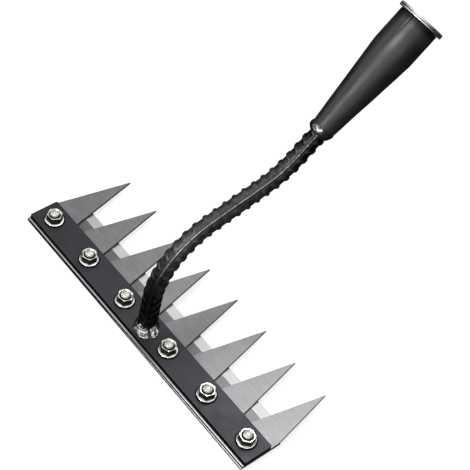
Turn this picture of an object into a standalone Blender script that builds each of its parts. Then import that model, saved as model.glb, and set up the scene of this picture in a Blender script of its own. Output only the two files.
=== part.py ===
# Weeding rake head. A clamp bar holds a toothed plate and a hoe blade with six bolts and flanged
# nuts, a ribbed bar neck is welded on the clamp bar, and a swaged tube socket takes the handle.
# Metres, +Z up. +X runs along the clamp bar and +Y towards the tooth tips.

import math

import bmesh
import bpy
from mathutils import Matrix, Vector

# Clearance kept between two pieces that touch on the real rake
GAP = 0.0003

# Teeth, measured from the front edge of the clamp bar
TOOTH_COUNT = 8
TOOTH_PITCH = 0.041
TOOTH_REACH = 0.0759
GULLET_WIDTH = 0.0094
GULLET_ROOT_RADIUS = 0.004
TOOTH_TIP_RADIUS = 0.0003
TOOTH_ROW_SHIFT = 0.0008
TOOTH_PLATE_THICKNESS = 0.0018
TOOTH_PLATE_OVERHANG = 0.0024

# Clamp bar: its ends trim the outer teeth
BAR_END_TRIM = 0.0058
BAR_WIDTH = 0.030
BAR_THICKNESS = 0.003
BAR_CORNER_RADIUS = 0.0015
BAR_EDGE_RADIUS = 0.0006

# Hoe blade, measured from the front and rear edges of the clamp bar
BLADE_THICKNESS = 0.0018
BLADE_REACH = 0.023
BLADE_OVERHANG = 0.0032
BLADE_BEVEL_WIDTH = 0.0106
BLADE_EDGE_THICKNESS = 0.0004
BLADE_CORNER_CLIP = 0.0125
BLADE_SKEW = math.radians(0.22)

# M8 bolts, heads underneath, and flanged nuts on top
BOLT_DIAMETER = 0.008
BOLT_TIP_CHAMFER = 0.0009
BOLT_STICK_OUT = 0.0024
BOLT_HEAD_HEIGHT = 0.0053
BOLT_END_MARGIN = 0.0171
NECK_BAY = 0.0638
HEX_ACROSS_FLATS = 0.013
HEX_CHAMFER_INSET = 0.00026
HEX_CHAMFER_SLOPE = math.radians(28)
NUT_HEIGHT = 0.008
NUT_FLANGE_MARGIN = 0.00144
NUT_FLANGE_RIM = 0.0011
NUT_FLANGE_SLOPE = math.radians(24)
NUT_CHAMFER = 0.0008
NUT_TURNS = [math.radians(degrees) for degrees in (4, 26, 12, 22, 16, 48)]

# Neck: the ribbed bar's path in the plane X = 0, from the top of the clamp bar
NECK_OFFSET = 0.001
NECK_RISE = 0.0414
LOWER_BEND_RADIUS = 0.0691
LOWER_BEND = math.radians(76)
NECK_RUN = 0.0572
UPPER_BEND_RADIUS = 0.0785
UPPER_BEND = math.radians(30)
NECK_TAIL = 0.0316
SOCKET_INSERTION = 0.016

# Ribbed bar: two ribs along it. Crescent ribs climb across each side between them, and those of
# one side stand half a pitch from the other's.
ROD_DIAMETER = 0.0153
RIB_HEIGHT = 0.0013
RIB_PITCH = 0.01053
RIB_START = 0.0055
RIB_CLIMB = 0.0106
RIB_SPAN = math.radians(152)
RIB_CREST_WIDTH = 0.002
RIB_FOOT_WIDTH = 0.0052
LONG_RIB_HEIGHT = 0.0011
LONG_RIB_CREST_WIDTH = 0.0014
LONG_RIB_FOOT_WIDTH = 0.0034
LONG_RIB_ANGLE = math.radians(62)

# Socket: a cylinder at the mouth, swaged to a cone towards the neck, where the wall is thicker
SOCKET_LENGTH = 0.1205
SOCKET_CONE_LENGTH = 0.0861
SOCKET_DIAMETER = 0.0391
SOCKET_NARROW_DIAMETER = 0.0221
SOCKET_WALL = 0.002
SOCKET_SHOULDER_RADIUS = 0.03
SCREW_HOLE_DIAMETER = 0.005
SCREW_HOLE_SETBACK = 0.024
SEAM_ANGLE = math.radians(-95)
SEAM_WIDTH = 0.0012
SEAM_DEPTH = 0.0004

# Ring round the socket's mouth
RING_PROUD = 0.00355
RING_THICKNESS = 0.0043
RING_EDGE_RADIUS = 0.0013

# Weld beads. The neck's is widest on one side, where a second run lies over the first.
NECK_WELD_HEIGHT = 0.006
NECK_WELD_WIDTH = 0.0044
NECK_WELD_HOLLOW = 1.3
NECK_WELD_LUMPS = 9
SECOND_RUN_WIDTH = 0.0034
SECOND_RUN_MIDDLE = math.radians(-40)
SECOND_RUN_SPAN = math.radians(230)
SECOND_RUN_TAPER = math.radians(50)
SOCKET_WELD_LENGTH = 0.0062
SOCKET_WELD_PROUD = 0.0008
SOCKET_WELD_LUMPS = 7
WELD_LUMP_HEIGHT = 0.0007

# Facets
ROUND_SIDES = 36
HOLE_SIDES = 20
HEX_SIDES = 18
ROD_SIDE_STEPS = 8
CLOSEST_RINGS = 0.00005
EDGE_STEPS = 3
GULLET_STEPS = 8
SHOULDER_STEPS = 4
BEAD_STEPS = 4

# Sizes that follow from the ones above
BAR_LENGTH = TOOTH_COUNT * TOOTH_PITCH - 2 * BAR_END_TRIM
BAR_FRONT = BAR_WIDTH / 2
TOOTH_HALF_WIDTH = (TOOTH_PITCH - GULLET_WIDTH) / 2
TOOTH_HALF_ANGLE = math.atan2(TOOTH_HALF_WIDTH, TOOTH_REACH)
TOOTH_PLATE_TOP = -BAR_THICKNESS - GAP
BLADE_TOP = TOOTH_PLATE_TOP - TOOTH_PLATE_THICKNESS - GAP
HEAD_SEAT = BLADE_TOP - BLADE_THICKNESS - GAP
BOLT_HOLE_RADIUS = BOLT_DIAMETER / 2 + GAP
BOLT_LENGTH = GAP + NUT_HEIGHT + BOLT_STICK_OUT - HEAD_SEAT
HEX_TOP_RADIUS = HEX_ACROSS_FLATS / 2 - HEX_CHAMFER_INSET
NUT_FLANGE_RADIUS = HEX_ACROSS_FLATS / math.sqrt(3) + NUT_FLANGE_MARGIN
ROD_RADIUS = ROD_DIAMETER / 2

MATERIALS = {
    "black_paint": ((0.020, 0.020, 0.022), 0.42, 0.0),
    "sheet_steel": ((0.42, 0.43, 0.43), 0.38, 1.0),
    "zinc": ((0.72, 0.72, 0.70), 0.22, 1.0),
    "weld_metal": ((0.30, 0.30, 0.30), 0.50, 1.0),
}


def clear_scene():
    for obj in list(bpy.data.objects):
        bpy.data.objects.remove(obj, do_unlink=True)


def make_material(name):
    color, roughness, metallic = MATERIALS[name]
    material = bpy.data.materials.new(name)
    material.use_nodes = True
    shader = material.node_tree.nodes["Principled BSDF"]
    shader.inputs["Base Color"].default_value = (*color, 1.0)
    shader.inputs["Roughness"].default_value = roughness
    shader.inputs["Metallic"].default_value = metallic
    return material


def make_empty(name, parent=None, location=(0, 0, 0), rotation=(0, 0, 0)):
    empty = bpy.data.objects.new(name, None)
    bpy.context.scene.collection.objects.link(empty)
    empty.parent = parent
    empty.location = location
    empty.rotation_euler = rotation
    return empty


def make_object(name, mesh, parent, material=None, location=(0, 0, 0), rotation=(0, 0, 0)):
    obj = bpy.data.objects.new(name, mesh)
    bpy.context.scene.collection.objects.link(obj)
    obj.parent = parent
    obj.location = location
    obj.rotation_euler = rotation
    if material and not mesh.materials:
        mesh.materials.append(material)
    return obj


def to_mesh(bm, name, smooth_below=math.radians(32)):
    """The bmesh as a mesh whose faces point out, with edges sharper than smooth_below kept sharp."""
    bmesh.ops.recalc_face_normals(bm, faces=bm.faces)
    mesh = bpy.data.meshes.new(name)
    bm.to_mesh(mesh)
    bm.free()
    mesh.shade_smooth()
    mesh.set_sharp_from_angle(angle=smooth_below)
    return mesh


def subtract(target, cutter):
    modifier = target.modifiers.new(cutter.name, "BOOLEAN")
    modifier.operation = "DIFFERENCE"
    modifier.object = cutter
    cutter.hide_render = True
    cutter.display_type = "WIRE"


def circle_angles(sides):
    return [2 * math.pi * i / sides for i in range(sides)]


def arc_points(center, radius, start, end, steps=EDGE_STEPS):
    """Points on an arc of a circle in a plane, both ends included."""
    points = []
    for i in range(steps + 1):
        angle = start + (end - start) * i / steps
        points.append((center[0] + radius * math.cos(angle), center[1] + radius * math.sin(angle)))
    return points


def skin(bm, rings, closed):
    """Quads between neighbouring rings of points. A closed stack joins its last ring to its first;
    an open one gets a flat cap at each end."""
    loops = [[bm.verts.new(point) for point in ring] for ring in rings]
    pairs = list(zip(loops, loops[1:]))
    if closed:
        pairs.append((loops[-1], loops[0]))
    for lower, upper in pairs:
        for i in range(len(lower)):
            j = (i + 1) % len(lower)
            bm.faces.new((lower[i], lower[j], upper[j], upper[i]))
    if not closed:
        bm.faces.new(list(reversed(loops[0])))
        bm.faces.new(loops[-1])


def revolve(name, profile, closed, sides=ROUND_SIDES):
    """A profile of (radius, height) points turned about Z."""
    bm = bmesh.new()
    rings = [
        [(r * math.cos(a), r * math.sin(a), z) for a in circle_angles(sides)] for r, z in profile
    ]
    skin(bm, rings, closed)
    return to_mesh(bm, name)


def extrude_outline(outline, bottom, top):
    """A bmesh prism over a flat outline of (x, y) points."""
    bm = bmesh.new()
    face = bm.faces.new([bm.verts.new((x, y, bottom)) for x, y in outline])
    extruded = bmesh.ops.extrude_face_region(bm, geom=[face])["geom"]
    moved = [item for item in extruded if isinstance(item, bmesh.types.BMVert)]
    bmesh.ops.translate(bm, verts=moved, vec=(0, 0, top - bottom))
    return bm


def cut_off(bm, point, normal):
    """Removes what lies beyond a plane, and closes the cut."""
    geometry = bm.verts[:] + bm.edges[:] + bm.faces[:]
    bmesh.ops.bisect_plane(bm, geom=geometry, plane_co=point, plane_no=normal, clear_outer=True)
    open_edges = [edge for edge in bm.edges if edge.is_boundary]
    bmesh.ops.holes_fill(bm, edges=open_edges)


def bolt_places():
    """X of each bolt: three on each side of the bay that the neck stands in."""
    inner = NECK_BAY / 2
    outer = BAR_LENGTH / 2 - BOLT_END_MARGIN
    side = [inner, (inner + outer) / 2, outer]
    return [-x for x in reversed(side)] + side


def bolt_hole_cutter(parent):
    """One cylinder for each bolt, through the whole stack."""
    bm = bmesh.new()
    low = HEAD_SEAT - BAR_THICKNESS
    high = BAR_THICKNESS
    for x in bolt_places():
        rings = [
            [
                (x + BOLT_HOLE_RADIUS * math.cos(a), BOLT_HOLE_RADIUS * math.sin(a), z)
                for a in circle_angles(HOLE_SIDES)
            ]
            for z in (low, high)
        ]
        skin(bm, rings, closed=False)
    return make_object("bolt_hole_cutter", to_mesh(bm, "bolt_holes"), parent)


def clamp_bar(parent, material, holes):
    half_x = BAR_LENGTH / 2 - BAR_CORNER_RADIUS
    half_y = BAR_WIDTH / 2 - BAR_CORNER_RADIUS
    outline = []
    for quarter, (sx, sy) in enumerate(((1, 1), (-1, 1), (-1, -1), (1, -1))):
        start = quarter * math.pi / 2
        center = (sx * half_x, sy * half_y)
        outline += arc_points(center, BAR_CORNER_RADIUS, start, start + math.pi / 2)
    mesh = to_mesh(extrude_outline(outline, -BAR_THICKNESS, 0), "clamp_bar")
    bar = make_object("clamp_bar", mesh, parent, material)
    edges = bar.modifiers.new("rolled_edges", "BEVEL")
    edges.width = BAR_EDGE_RADIUS
    edges.segments = 2
    edges.limit_method = "ANGLE"
    edges.angle_limit = math.radians(60)
    subtract(bar, holes)
    return bar


def tooth_row_outline():
    """The toothed strip from its rear right corner, a whole pitch for each tooth. It has half a
    gullet at each end, where clamp_bar's length trims it."""
    tip = BAR_FRONT + TOOTH_REACH
    first = TOOTH_ROW_SHIFT - TOOTH_PITCH * (TOOTH_COUNT - 1) / 2
    # A gullet's root is an arc that touches the flanks on both sides of it
    apex = BAR_FRONT - GULLET_WIDTH / 2 / math.tan(TOOTH_HALF_ANGLE)
    root_center = apex + GULLET_ROOT_RADIUS / math.sin(TOOTH_HALF_ANGLE)
    tip_center = tip - TOOTH_TIP_RADIUS / math.sin(TOOTH_HALF_ANGLE)
    rear = -BAR_FRONT - TOOTH_PLATE_OVERHANG
    left = first - TOOTH_PITCH / 2
    right = left + TOOTH_COUNT * TOOTH_PITCH
    lean = TOOTH_HALF_ANGLE
    down = -math.pi / 2

    def gullet(x, start, end, steps):
        return arc_points((x, root_center), GULLET_ROOT_RADIUS, start, end, steps)

    outline = [(right, rear)] + gullet(right, down, lean - math.pi, GULLET_STEPS // 2)
    for k in reversed(range(TOOTH_COUNT)):
        x = first + k * TOOTH_PITCH
        outline += arc_points((x, tip_center), TOOTH_TIP_RADIUS, lean, math.pi - lean)
        if k > 0:
            outline += gullet(x - TOOTH_PITCH / 2, -lean, lean - math.pi, GULLET_STEPS)
    outline += gullet(left, -lean, down, GULLET_STEPS // 2) + [(left, rear)]
    return outline


def tooth_plate(parent, material, holes):
    bottom = TOOTH_PLATE_TOP - TOOTH_PLATE_THICKNESS
    bm = extrude_outline(tooth_row_outline(), bottom, TOOTH_PLATE_TOP)
    for side in (-1, 1):
        cut_off(bm, (side * BAR_LENGTH / 2, 0, 0), (side, 0, 0))
    plate = make_object("tooth_plate", to_mesh(bm, "tooth_plate"), parent, material)
    subtract(plate, holes)
    return plate


def hoe_blade(parent, material, holes):
    """A strip ground to an edge along its front, set slightly askew, its front corners clipped."""
    front = BAR_FRONT + BLADE_REACH
    rear = -BAR_FRONT - BLADE_OVERHANG
    bottom = BLADE_TOP - BLADE_THICKNESS
    section = [
        (rear, bottom),
        (front, bottom),
        (front, bottom + BLADE_EDGE_THICKNESS),
        (front - BLADE_BEVEL_WIDTH, BLADE_TOP),
        (rear, BLADE_TOP),
    ]
    half = BAR_LENGTH / 2
    uncut = half + BLADE_REACH
    bm = bmesh.new()
    skin(bm, [[(x, y, z) for y, z in section] for x in (-uncut, uncut)], closed=False)
    bmesh.ops.recalc_face_normals(bm, faces=bm.faces)
    skew = Matrix.Rotation(-BLADE_SKEW, 3, "Z")
    bmesh.ops.rotate(bm, verts=bm.verts, cent=(0, 0, 0), matrix=skew)
    for side in (-1, 1):
        cut_off(bm, (side * half, 0, 0), (side, 0, 0))
        cut_off(bm, (side * (half - BLADE_CORNER_CLIP), front, 0), (side, 1, 0))
    mesh = to_mesh(bm, "hoe_blade", smooth_below=math.radians(5))
    blade = make_object("hoe_blade", mesh, parent, material)
    subtract(blade, holes)
    return blade


def hex_radius(angle):
    """Distance from the centre of a hexagon to its outline in a direction."""
    within = (angle + math.pi / 6) % (math.pi / 3) - math.pi / 6
    return HEX_ACROSS_FLATS / 2 / math.cos(within)


def hex_ring(height, at_radius=None):
    """A ring on the hexagon, or on a circle where at_radius is given. height is a function of the
    distance from the axis."""
    ring = []
    for a in circle_angles(HEX_SIDES):
        angle = a + math.pi / 6
        r = hex_radius(angle) if at_radius is None else at_radius
        ring.append((r * math.cos(angle), r * math.sin(angle), height(r)))
    return ring


def chamfer_drop(r):
    """How far the chamfer has fallen away at a distance from the axis."""
    return max(0.0, r - HEX_TOP_RADIUS) * math.tan(HEX_CHAMFER_SLOPE)


def flange_nut_mesh():
    bore = BOLT_HOLE_RADIUS
    flange = NUT_FLANGE_RADIUS
    rise = math.tan(NUT_FLANGE_SLOPE)
    chamfer = NUT_CHAMFER
    rings = [
        hex_ring(lambda r: 0, bore),
        hex_ring(lambda r: 0, flange - chamfer / 2),
        hex_ring(lambda r: chamfer / 2, flange),
        hex_ring(lambda r: NUT_FLANGE_RIM, flange),
        hex_ring(lambda r: NUT_FLANGE_RIM + (flange - r) * rise),
        hex_ring(lambda r: NUT_HEIGHT - chamfer_drop(r)),
        hex_ring(lambda r: NUT_HEIGHT, HEX_TOP_RADIUS),
        hex_ring(lambda r: NUT_HEIGHT, bore + chamfer),
        hex_ring(lambda r: NUT_HEIGHT - chamfer, bore),
    ]
    bm = bmesh.new()
    skin(bm, rings, closed=True)
    return to_mesh(bm, "flange_nut")


def hex_bolt_mesh():
    """Origin under the head, shank along +Z."""
    shank = BOLT_DIAMETER / 2
    rings = [
        hex_ring(lambda r: -BOLT_HEAD_HEIGHT, HEX_TOP_RADIUS),
        hex_ring(lambda r: chamfer_drop(r) - BOLT_HEAD_HEIGHT),
        hex_ring(lambda r: 0),
        hex_ring(lambda r: 0, shank),
        hex_ring(lambda r: BOLT_LENGTH - BOLT_TIP_CHAMFER, shank),
        hex_ring(lambda r: BOLT_LENGTH, shank - BOLT_TIP_CHAMFER),
    ]
    bm = bmesh.new()
    skin(bm, rings, closed=False)
    return to_mesh(bm, "hex_bolt")


def fasteners(parent, material):
    nut = flange_nut_mesh()
    bolt = hex_bolt_mesh()
    for number, (x, turn) in enumerate(zip(bolt_places(), NUT_TURNS), start=1):
        make_object(f"flange_nut_{number}", nut, parent, material, (x, 0, GAP), (0, 0, turn))
        make_object(f"hex_bolt_{number}", bolt, parent, material, (x, 0, HEAD_SEAT), (0, 0, -turn))


def neck_stretches():
    """The neck's path as (length, curvature) stretches. It starts upright and bends forwards, and
    the second bend turns it up again."""
    return [
        (NECK_RISE, 0.0),
        (LOWER_BEND_RADIUS * LOWER_BEND, -1 / LOWER_BEND_RADIUS),
        (NECK_RUN, 0.0),
        (UPPER_BEND_RADIUS * UPPER_BEND, 1 / UPPER_BEND_RADIUS),
        (NECK_TAIL + SOCKET_INSERTION, 0.0),
    ]


def neck_length():
    return sum(length for length, _ in neck_stretches())


def neck_frame(distance):
    """Point, direction and upper normal of the neck's centre line at a distance along it."""
    y, z, heading = NECK_OFFSET, 0.0, math.pi / 2
    for length, curvature in neck_stretches():
        step = min(length, distance)
        turned = heading + curvature * step
        if curvature:
            y += (math.sin(turned) - math.sin(heading)) / curvature
            z -= (math.cos(turned) - math.cos(heading)) / curvature
        else:
            y += step * math.cos(heading)
            z += step * math.sin(heading)
        heading = turned
        distance -= step
        if distance <= 0:
            break
    y += distance * math.cos(heading)
    z += distance * math.sin(heading)
    ahead = Vector((0, math.cos(heading), math.sin(heading)))
    return Vector((0, y, z)), ahead, Vector((0, -ahead.z, ahead.y))


def smooth_step(value):
    value = min(1.0, max(0.0, value))
    return value * value * (3 - 2 * value)


def plateau(offset, crest, foot):
    """1 on a rib's crest, falling straight to 0 at its foot."""
    return min(1.0, max(0.0, (foot / 2 - abs(offset)) / (foot / 2 - crest / 2)))


def rod_angles():
    """Angles from one long rib round to itself: each long rib's crest and foot, and even steps
    on the sides between."""
    crest = LONG_RIB_CREST_WIDTH / ROD_DIAMETER
    foot = LONG_RIB_FOOT_WIDTH / ROD_DIAMETER
    step = (math.pi - 2 * foot) / ROD_SIDE_STEPS
    side = [crest] + [foot + step * i for i in range(ROD_SIDE_STEPS + 1)]
    side.append(math.pi - crest)
    return side + [math.pi + angle for angle in side]


def rod_radius(angle, phase):
    """Radius of the ribbed bar. angle is from the first long rib, and phase is the distance to the
    nearest cross rib."""
    across = abs(math.remainder(angle, math.pi)) * ROD_RADIUS
    long_rib = LONG_RIB_HEIGHT * plateau(across, LONG_RIB_CREST_WIDTH, LONG_RIB_FOOT_WIDTH)
    off_middle = abs(math.remainder(angle - math.pi / 2, math.pi)) / (RIB_SPAN / 2)
    crescent = RIB_HEIGHT * max(0.0, 1 - off_middle ** 2)
    cross_rib = crescent * plateau(phase, RIB_CREST_WIDTH, RIB_FOOT_WIDTH)
    return ROD_RADIUS + max(long_rib, cross_rib)


def rod_stations(end):
    """Rings of the ribbed bar, as (distance, distance to the rib): each cross rib's two feet and
    crest edges, and the middle of each space."""
    marks = (-RIB_FOOT_WIDTH / 2, -RIB_CREST_WIDTH / 2, RIB_CREST_WIDTH / 2, RIB_FOOT_WIDTH / 2)
    stations = []
    rib = RIB_START - RIB_PITCH
    while rib < end + (RIB_CLIMB + RIB_PITCH) / 2:
        stations += [(rib + mark, mark) for mark in marks]
        stations.append((rib + RIB_PITCH / 2, RIB_PITCH / 2))
        rib += RIB_PITCH
    return stations


def rod_column(angle):
    """(distance, radius) of the points at one angle of the bar. They lean with the cross ribs, and
    those that would reach into a weld are drawn up against its edge, without their rib."""
    length = neck_length()
    start = NECK_WELD_HEIGHT + GAP
    end = length - SOCKET_INSERTION - SOCKET_WELD_LENGTH - GAP
    far_side = angle > math.pi
    around = 2 * math.pi - angle if far_side else angle
    climb = RIB_CLIMB * (around / math.pi - 0.5) + (RIB_PITCH / 2 if far_side else 0)
    stations = rod_stations(end)
    column = [(0.0, ROD_RADIUS), (start, ROD_RADIUS)]
    for i, (distance, phase) in enumerate(stations):
        lowest = start + (i + 1) * CLOSEST_RINGS
        highest = end - (len(stations) - i) * CLOSEST_RINGS
        place = min(max(distance + climb, lowest), highest)
        ribbed = lowest < place < highest
        column.append((place, rod_radius(angle, phase) if ribbed else ROD_RADIUS))
    column += [(end, ROD_RADIUS), (length, ROD_RADIUS)]
    return column


def neck_rod(parent, material):
    """The ribbed bar as one skin over its columns of points."""
    columns = []
    for angle in rod_angles():
        turn = LONG_RIB_ANGLE + angle
        column = []
        for distance, r in rod_column(angle):
            center, _, normal = neck_frame(distance)
            column.append(center + Vector((r * math.cos(turn), 0, 0)) + normal * (r * math.sin(turn)))
        columns.append(column)
    bm = bmesh.new()
    skin(bm, list(zip(*columns)), closed=False)
    mesh = to_mesh(bm, "neck_rod", smooth_below=math.radians(40))
    return make_object("neck_rod", mesh, parent, material, (0, 0, GAP))


def second_run(angle):
    """How much wider the neck's weld is at an angle, where its second run lies."""
    off_middle = abs(math.remainder(angle - SECOND_RUN_MIDDLE, 2 * math.pi))
    return SECOND_RUN_WIDTH * smooth_step((SECOND_RUN_SPAN / 2 - off_middle) / SECOND_RUN_TAPER)


def lumpy_ring(name, profile, lumps, widening=None):
    """A closed profile of (radius, height, share of the lumps) turned about Z, as weld metal laid
    down in overlapping drops. widening is a function of the angle."""
    rings = []
    for r, z, share in profile:
        ring = []
        for a in circle_angles(ROUND_SIDES):
            drop = WELD_LUMP_HEIGHT * abs(math.sin(lumps * a / 2))
            wider = widening(a) if widening else 0.0
            reach = r + share * (drop + wider)
            ring.append((reach * math.cos(a), reach * math.sin(a), z))
        rings.append(ring)
    bm = bmesh.new()
    skin(bm, rings, closed=True)
    return to_mesh(bm, name, smooth_below=math.radians(50))


def neck_weld(parent, material):
    """A fillet between the rod and the clamp bar, hollower than a quarter circle."""
    inner = ROD_RADIUS + GAP
    profile = [(inner, 0, 0)]
    for i in range(BEAD_STEPS):
        across = math.cos(math.pi / 2 * i / BEAD_STEPS)
        up = math.sin(math.pi / 2 * i / BEAD_STEPS)
        reach = NECK_WELD_WIDTH * across ** NECK_WELD_HOLLOW
        profile.append((inner + reach, NECK_WELD_HEIGHT * up ** NECK_WELD_HOLLOW, across))
    profile.append((inner, NECK_WELD_HEIGHT, 0))
    mesh = lumpy_ring("neck_weld", profile, NECK_WELD_LUMPS, second_run)
    return make_object("neck_weld", mesh, parent, material, (0, NECK_OFFSET, GAP))


def socket_weld(parent, material):
    """A rounded bead against the socket's narrow end, below the socket's origin."""
    inner = ROD_RADIUS + GAP
    outer = SOCKET_NARROW_DIAMETER / 2 + SOCKET_WELD_PROUD
    length = SOCKET_WELD_LENGTH
    profile = [(inner, -GAP, 0), (inner, -length, 0)]
    for i in range(1, BEAD_STEPS):
        share = i / BEAD_STEPS
        bulge = math.sin(math.pi / 2 * share)
        profile.append((inner + (outer - inner) * bulge, -length + (length - GAP) * share, 1))
    profile.append((outer - WELD_LUMP_HEIGHT, -GAP, 0.5))
    mesh = lumpy_ring("socket_weld", profile, SOCKET_WELD_LUMPS)
    return make_object("socket_weld", mesh, parent, material)


def cone_profile(narrow, wide, end):
    """(radius, height) along a cone that turns into a cylinder over an arc."""
    angle = math.atan2(wide - narrow, SOCKET_CONE_LENGTH)
    tangent = SOCKET_SHOULDER_RADIUS * math.tan(angle / 2)
    center = (wide - SOCKET_SHOULDER_RADIUS, SOCKET_CONE_LENGTH + tangent)
    shoulder = arc_points(center, SOCKET_SHOULDER_RADIUS, -angle, 0, SHOULDER_STEPS)
    return [(narrow, 0)] + shoulder + [(wide, end)]


def socket_angles():
    """(angle, depth below the outer face): even steps, and the groove of the tube's seam."""
    step = 2 * math.pi / ROUND_SIDES
    edge = SEAM_WIDTH / SOCKET_DIAMETER
    angles = [(SEAM_ANGLE + edge, 0.0)]
    angles += [(SEAM_ANGLE + step * i, 0.0) for i in range(1, ROUND_SIDES)]
    angles += [(SEAM_ANGLE - edge, 0.0), (SEAM_ANGLE, SEAM_DEPTH)]
    return angles


def handle_socket(parent, material):
    outer = cone_profile(SOCKET_NARROW_DIAMETER / 2, SOCKET_DIAMETER / 2, SOCKET_LENGTH)
    inner = cone_profile(ROD_RADIUS + GAP, SOCKET_DIAMETER / 2 - SOCKET_WALL, SOCKET_LENGTH)
    rings = []
    for r, z in outer:
        rings.append([((r - d) * math.cos(a), (r - d) * math.sin(a), z) for a, d in socket_angles()])
    for r, z in reversed(inner):
        rings.append([(r * math.cos(a), r * math.sin(a), z) for a, _ in socket_angles()])
    bm = bmesh.new()
    skin(bm, rings, closed=True)
    socket = make_object("handle_socket", to_mesh(bm, "handle_socket"), parent, material)
    radius = SCREW_HOLE_DIAMETER / 2
    drill = [(radius, 0), (radius, SOCKET_DIAMETER)]
    mesh = revolve("screw_hole", drill, closed=False, sides=HOLE_SIDES)
    place = (0, 0, SOCKET_LENGTH - SCREW_HOLE_SETBACK)
    cutter = make_object("screw_hole_cutter", mesh, parent, None, place, (-math.pi / 2, 0, 0))
    subtract(socket, cutter)
    return socket


def socket_ring(parent, material):
    inner = SOCKET_DIAMETER / 2 - SOCKET_WALL
    outer = SOCKET_DIAMETER / 2 + RING_PROUD
    edge = RING_EDGE_RADIUS
    bottom = SOCKET_LENGTH + GAP
    top = bottom + RING_THICKNESS
    profile = [(inner, bottom)]
    profile += arc_points((outer - edge, bottom + edge), edge, -math.pi / 2, 0)
    profile += arc_points((outer - edge, top - edge), edge, 0, math.pi / 2)
    profile.append((inner, top))
    return make_object("socket_ring", revolve("socket_ring", profile, closed=True), parent, material)


def stand_on_origin(root, pieces):
    """Moves the whole rake so that the middle of its box's underside is the origin."""
    bpy.context.view_layer.update()
    graph = bpy.context.evaluated_depsgraph_get()
    corners = []
    for piece in pieces:
        evaluated = piece.evaluated_get(graph)
        corners += [evaluated.matrix_world @ vertex.co for vertex in evaluated.data.vertices]
    low = [min(corner[i] for corner in corners) for i in range(3)]
    high = [max(corner[i] for corner in corners) for i in range(3)]
    root.location = (-(low[0] + high[0]) / 2, -(low[1] + high[1]) / 2, -low[2])
    bpy.context.view_layer.update()


def main():
    clear_scene()
    paint, sheet, zinc, weld = [make_material(name) for name in MATERIALS]
    head = make_empty("rake_head")
    holes = bolt_hole_cutter(head)
    clamp_bar(head, paint, holes)
    tooth_plate(head, sheet, holes)
    hoe_blade(head, sheet, holes)
    fasteners(head, zinc)
    neck_rod(head, paint)
    neck_weld(head, weld)

    foot, ahead, _ = neck_frame(neck_length() - SOCKET_INSERTION)
    tilt = math.atan2(ahead.z, ahead.y) - math.pi / 2
    axis = make_empty("socket_axis", head, foot + Vector((0, 0, GAP)), (tilt, 0, 0))
    socket_weld(axis, weld)
    handle_socket(axis, paint)
    socket_ring(axis, paint)

    pieces = [obj for obj in bpy.data.objects if obj.type == "MESH" and not obj.hide_render]
    stand_on_origin(head, pieces)
    mouth = axis.matrix_world @ Vector((0, 0, SOCKET_LENGTH + GAP + RING_THICKNESS))
    print("bar top centre", [round(value, 5) for value in head.matrix_world.translation])
    print("socket mouth centre", [round(value, 5) for value in mouth], "tilt", round(math.degrees(tilt), 3))


main()
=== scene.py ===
import math
from contextlib import contextmanager
from functools import partial

import bmesh
import bpy
from mathutils import Matrix, Vector, noise


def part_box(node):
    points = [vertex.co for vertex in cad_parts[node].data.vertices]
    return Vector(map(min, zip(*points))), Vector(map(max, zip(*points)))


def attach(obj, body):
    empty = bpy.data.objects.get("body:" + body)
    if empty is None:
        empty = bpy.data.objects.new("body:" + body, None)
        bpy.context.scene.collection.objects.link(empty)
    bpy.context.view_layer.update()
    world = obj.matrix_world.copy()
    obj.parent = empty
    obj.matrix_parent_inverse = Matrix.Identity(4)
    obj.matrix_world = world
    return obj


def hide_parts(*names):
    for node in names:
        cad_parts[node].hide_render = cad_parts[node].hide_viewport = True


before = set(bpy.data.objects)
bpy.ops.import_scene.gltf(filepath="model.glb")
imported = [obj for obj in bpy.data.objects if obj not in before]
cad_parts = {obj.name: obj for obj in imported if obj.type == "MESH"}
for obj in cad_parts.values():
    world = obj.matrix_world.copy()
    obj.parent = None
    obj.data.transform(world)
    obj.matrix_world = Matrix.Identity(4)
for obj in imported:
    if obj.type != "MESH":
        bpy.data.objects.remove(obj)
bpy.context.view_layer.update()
print("frame loaded:", len(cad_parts), "nodes")

# middle of the clamp bar's top face: the pieces are laid out from here
barLow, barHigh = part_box("clamp_bar")
barTop = Vector(((barLow.x + barHigh.x) / 2, (barLow.y + barHigh.y) / 2, barHigh.z))
barSize = barHigh - barLow
halfBar = barSize / 2
rearEdge, frontEdge = barTop.y - halfBar.y, barTop.y + halfBar.y


# helpers for node trees: a value is a socket or a plain number

def plug(value, socket):
    if isinstance(value, bpy.types.NodeSocket):
        socket.id_data.links.new(value, socket)
    else:
        socket.default_value = value


def feed(node, inputs):
    for key, value in inputs.items():
        plug(value, node.inputs[key])


def addNode(tree, kind, inputs=None, **settings):
    node = tree.nodes.new(kind)
    for key, value in settings.items():
        setattr(node, key, value)
    feed(node, inputs or {})
    return node


def firstOut(tree, kind, inputs=None, **settings):
    return addNode(tree, kind, inputs, **settings).outputs[0]


def treeOf(values):
    # the tree of the first socket among the values
    return next(value.id_data for value in values if isinstance(value, bpy.types.NodeSocket))


def calc(operation, *values, clamp=False):
    inputs = dict(enumerate(values))
    return firstOut(treeOf(values), "ShaderNodeMath", inputs, operation=operation, use_clamp=clamp)


plus, minus, times, over = (partial(calc, name) for name in ("ADD", "SUBTRACT", "MULTIPLY", "DIVIDE"))
highest, unsigned = partial(calc, "MAXIMUM"), partial(calc, "ABSOLUTE")


def vectorCalc(operation, *values, result="Vector"):
    node = addNode(treeOf(values), "ShaderNodeVectorMath", dict(enumerate(values)), operation=operation)
    return node.outputs[result]


def scaled(vector, size):
    return firstOut(vector.id_data, "ShaderNodeVectorMath", {0: vector, "Scale": size}, operation="SCALE")


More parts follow.
